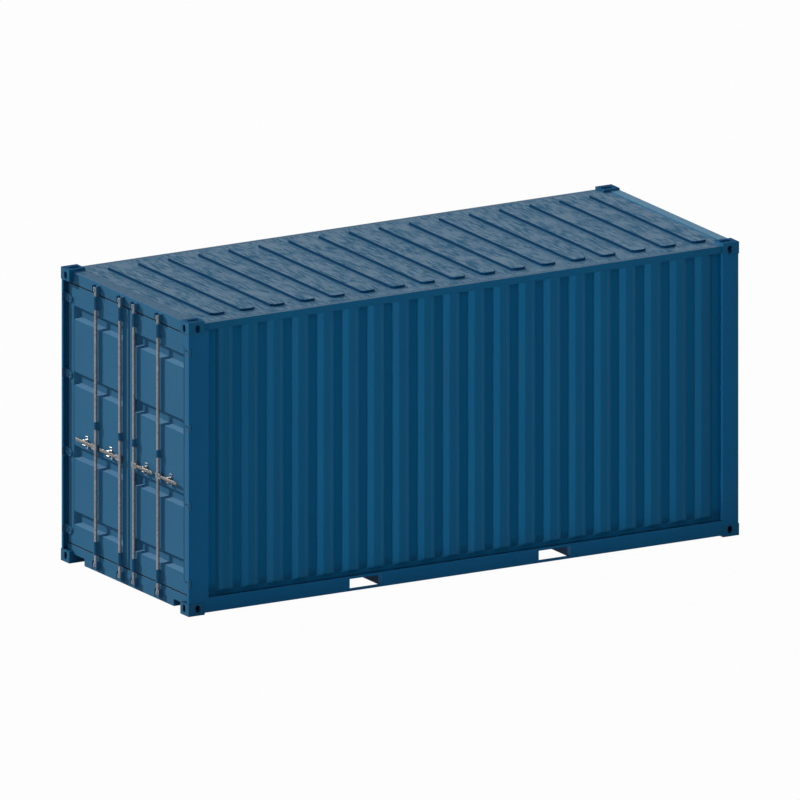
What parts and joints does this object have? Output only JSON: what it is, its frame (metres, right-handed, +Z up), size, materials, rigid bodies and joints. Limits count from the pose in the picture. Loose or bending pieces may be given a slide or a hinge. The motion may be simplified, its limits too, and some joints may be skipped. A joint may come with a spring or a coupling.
{
  "type": "twenty foot high shipping container",
  "caption": "Steel freight container with corrugated walls, ribbed roof, corner castings, fork pockets and hinged cargo doors held by turning locking bars.",
  "frame": {"origin": "on the ground under the middle of the plan", "axes": "+Z up, +X along the length away from the doors, +Y to the left side as seen from outside the doors"},
  "size_m": [6.058, 2.438, 2.896],
  "materials": {
    "blue_paint": "weathered satin paint",
    "galvanised_steel": "galvanised, dull",
    "seal_rubber": "matt",
    "plywood": "worn"
  },
  "bodies": {
    "container": {"top_corner_castings": "blue_paint", "bottom_corner_castings": "blue_paint", "left_rear_post": "blue_paint", "right_rear_post": "blue_paint", "left_front_post": "blue_paint", "right_front_post": "blue_paint", "left_hinge_lugs": "blue_paint", "right_hinge_lugs": "blue_paint", "door_sill": "blue_paint", "door_header": "blue_paint", "front_sill": "blue_paint", "front_header": "blue_paint", "left_top_rail": "blue_paint", "right_top_rail": "blue_paint", "left_bottom_rail": "blue_paint", "right_bottom_rail": "blue_paint", "fork_pockets": "blue_paint", "cross_members": "blue_paint", "floor": "plywood", "left_side_wall": "blue_paint", "right_side_wall": "blue_paint", "front_wall": "blue_paint", "roof_panel": "blue_paint", "top_keepers": "galvanised_steel", "bottom_keepers": "galvanised_steel"},
    "left_door": {"left_door_frame": "blue_paint", "left_door_panel": "blue_paint", "left_door_seal": "seal_rubber", "left_hinge_blades": "blue_paint", "left_bar_brackets": "blue_paint", "left_handle_retainers": "galvanised_steel"},
    "right_door": {"right_door_frame": "blue_paint", "right_door_panel": "blue_paint", "right_door_seal": "seal_rubber", "right_hinge_blades": "blue_paint", "right_bar_brackets": "blue_paint", "right_handle_retainers": "galvanised_steel"},
    "left_inner_bar": {"left_inner_bar": "galvanised_steel", "left_inner_handle": "galvanised_steel"},
    "left_outer_bar": {"left_outer_bar": "galvanised_steel", "left_outer_handle": "galvanised_steel"},
    "right_inner_bar": {"right_inner_bar": "galvanised_steel", "right_inner_handle": "galvanised_steel"},
    "right_outer_bar": {"right_outer_bar": "galvanised_steel", "right_outer_handle": "galvanised_steel"}
  },
  "joints": [
    {"name": "left_door_hinge", "type": "hinge", "parent": "container", "child": "left_door", "pos_m": [-3.013, 1.203, 1.448], "axis": [0, 0, -1], "range_deg": [0, 264]},
    {"name": "right_door_hinge", "type": "hinge", "parent": "container", "child": "right_door", "pos_m": [-3.013, -1.203, 1.448], "axis": [0, 0, 1], "range_deg": [0, 264]},
    {"name": "left_inner_bar_turn", "type": "hinge", "parent": "left_door", "child": "left_inner_bar", "pos_m": [-3.007, 0.132, 1.252], "axis": [0, 0, -1], "range_deg": [-100, 0]},
    {"name": "left_outer_bar_turn", "type": "hinge", "parent": "left_door", "child": "left_outer_bar", "pos_m": [-3.007, 0.593, 1.252], "axis": [0, 0, -1], "range_deg": [-100, 0]},
    {"name": "right_inner_bar_turn", "type": "hinge", "parent": "right_door", "child": "right_inner_bar", "pos_m": [-3.007, -0.132, 1.252], "axis": [0, 0, 1], "range_deg": [-100, 0]},
    {"name": "right_outer_bar_turn", "type": "hinge", "parent": "right_door", "child": "right_outer_bar", "pos_m": [-3.007, -0.593, 1.252], "axis": [0, 0, 1], "range_deg": [-100, 0]}
  ]
}
